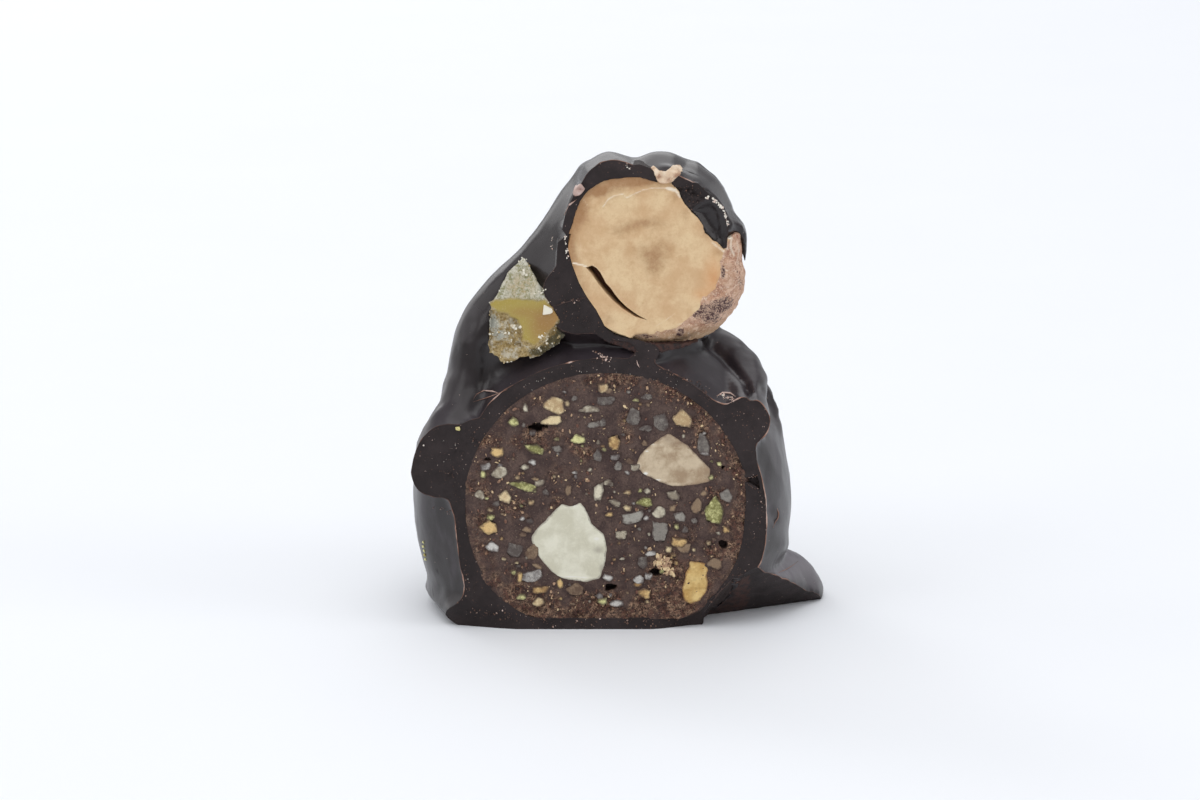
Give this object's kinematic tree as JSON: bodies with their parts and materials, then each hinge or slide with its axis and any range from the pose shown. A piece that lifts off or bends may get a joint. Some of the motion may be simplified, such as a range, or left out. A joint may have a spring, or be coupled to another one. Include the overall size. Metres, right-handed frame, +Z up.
{
  "type": "chocolate truffle",
  "caption": "Sliced dark chocolate truffle: nut ganache ball in a thick coat, with a hazelnut and a lump of candied fruit held on top.",
  "frame": {"origin": "on the flat base, on the vertical axis of the coated ball", "axes": "+Z up; the knife's cut faces look along -Y; +X is the viewer's right when the cut is seen from the front"},
  "size_m": [0.0326, 0.0228, 0.0371],
  "materials": {
    "coat_chocolate": "satin dark chocolate coat, matte where the knife cut it",
    "nut_ganache": "waxy dark ganache full of small nut pieces and torn crumbs",
    "hazelnut_flesh": "cut hazelnut, smooth cream flesh and a rough brown skin",
    "candied_fruit": "translucent candied fruit with sugar frost",
    "pale_nut": "cut pale nut flesh",
    "tan_nut": "cut tan nut flesh with a pale rim",
    "yellow_nut": "granular yellow nut flesh",
    "nut_chip": "dry chipped nut"
  },
  "bodies": {
    "root": {"coat": "coat_chocolate", "ganache": "nut_ganache", "hazelnut": "hazelnut_flesh", "candied_fruit": "candied_fruit", "nut_chunk_white": "pale_nut", "nut_chunk_tan": "tan_nut", "nut_chunk_yellow": "yellow_nut", "nut_chip_top": "nut_chip", "nut_chip_left": "nut_chip"}
  },
  "joints": []
}
